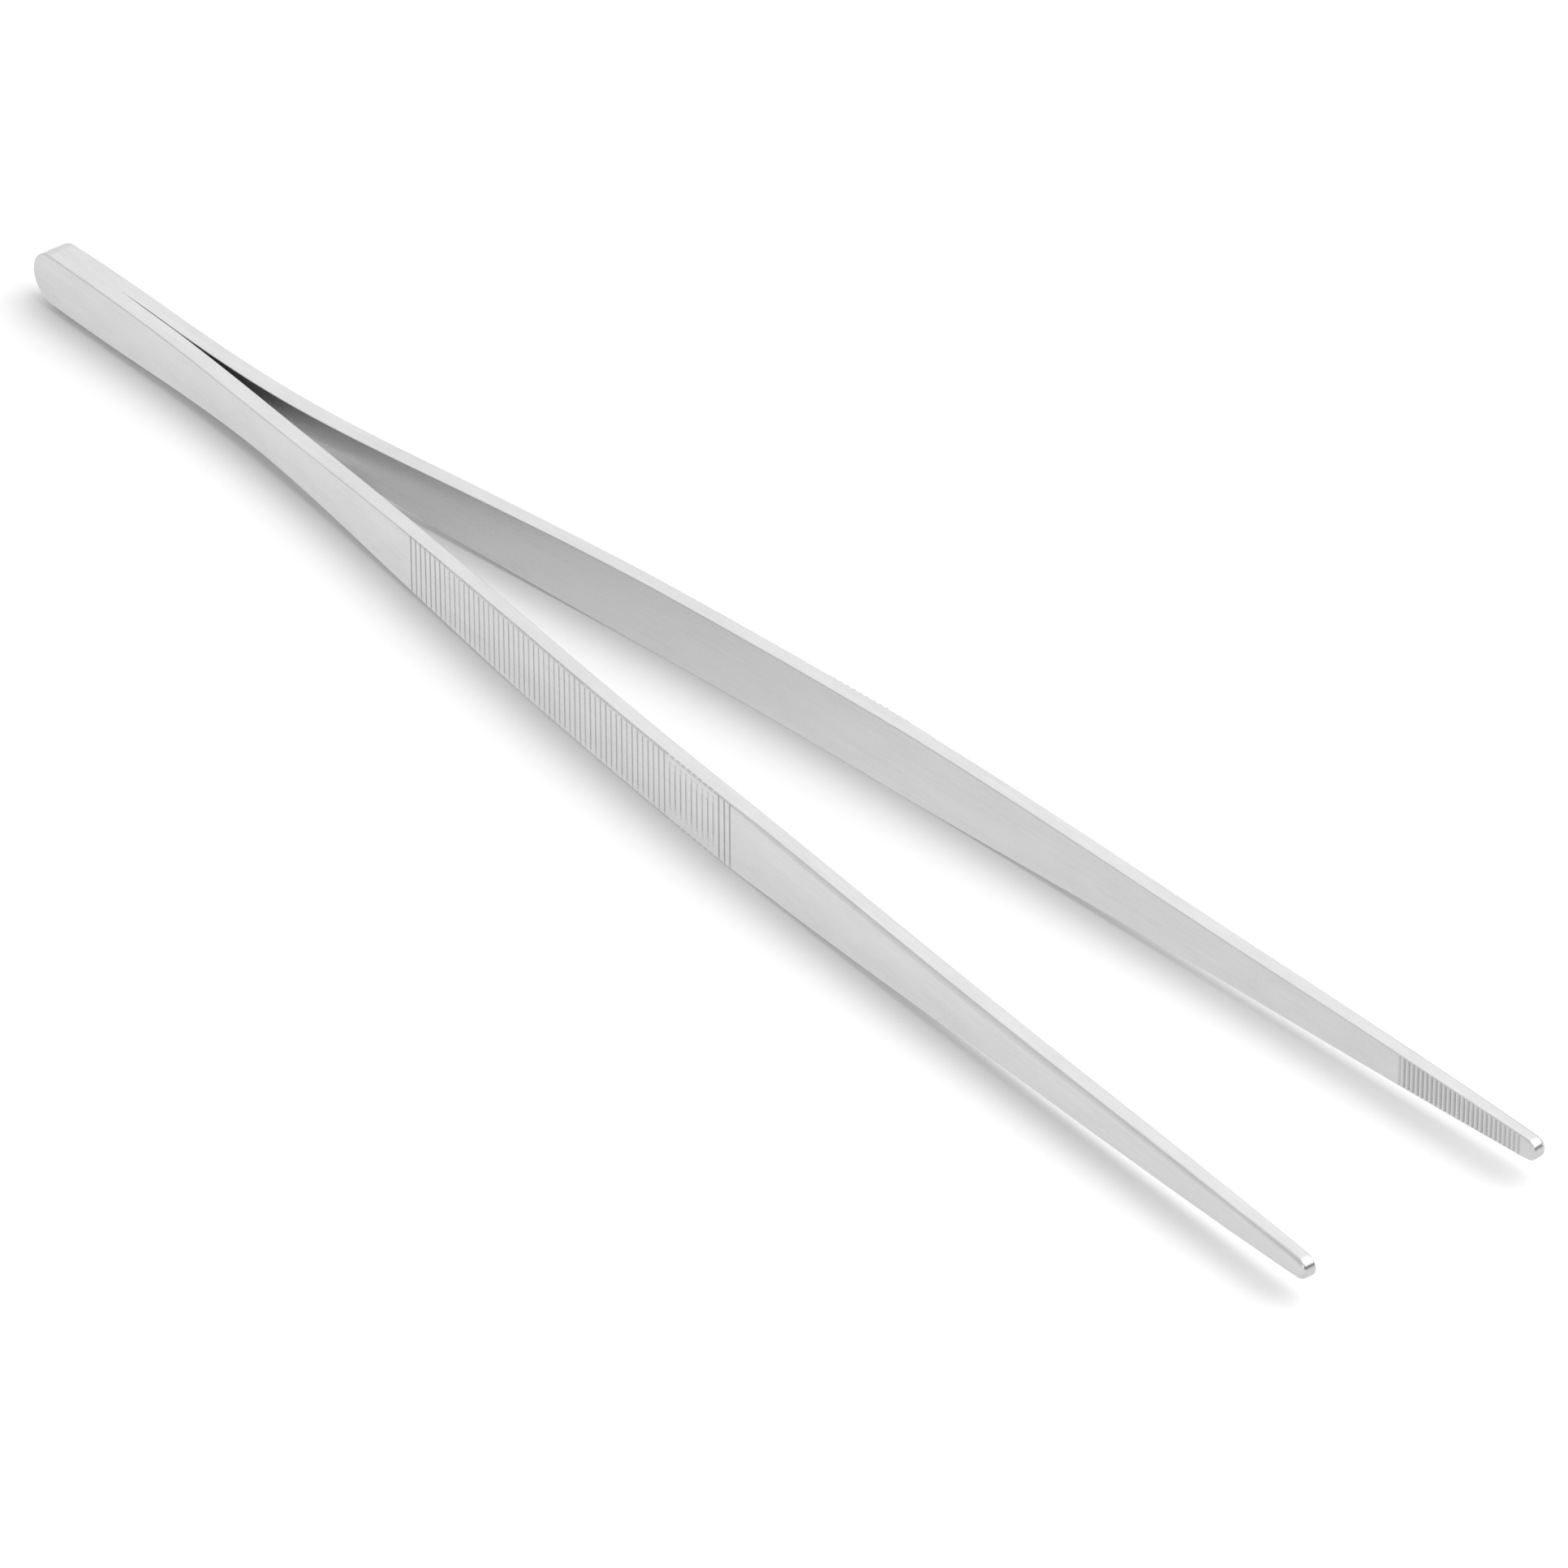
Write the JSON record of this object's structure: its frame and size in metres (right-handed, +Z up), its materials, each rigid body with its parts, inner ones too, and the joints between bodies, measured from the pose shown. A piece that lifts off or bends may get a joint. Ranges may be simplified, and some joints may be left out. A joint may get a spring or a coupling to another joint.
{
  "type": "aquascaping tweezers",
  "caption": "Long straight steel tweezers for planting in aquariums: sprung arms welded at the tail, ribbed grips, blunt serrated tips.",
  "frame": {"origin": "on the resting surface, under the middle of the tweezers' box, midway between tail and tips and between the two arms", "axes": "+X from the welded tail to the tips, +Y towards the left arm, +Z up out of the surface that the tweezers lie on, across the width of the arms"},
  "size_m": [0.3, 0.0424, 0.0108],
  "materials": {
    "arm_steel": "satin stainless spring steel, brushed lengthwise",
    "weld_steel": "stainless weld filler, ground flush and satin"
  },
  "bodies": {
    "tail": {"left_arm_heel": "arm_steel", "right_arm_heel": "arm_steel", "tail_weld": "weld_steel"},
    "left_arm": {"left_arm_blade": "arm_steel"},
    "right_arm": {"right_arm_blade": "arm_steel"}
  },
  "joints": [
    {"name": "left_arm_flex", "type": "hinge", "parent": "tail", "child": "left_arm", "pos_m": [-0.0951, 0.00241, 0.0054], "axis": [0, 0, -1], "range_deg": [0, 4.4], "stiffness_Nm_per_rad": 5},
    {"name": "right_arm_flex", "type": "hinge", "parent": "tail", "child": "right_arm", "pos_m": [-0.0951, -0.00241, 0.0054], "axis": [0, 0, 1], "range_deg": [0, 4.4], "stiffness_Nm_per_rad": 5}
  ]
}
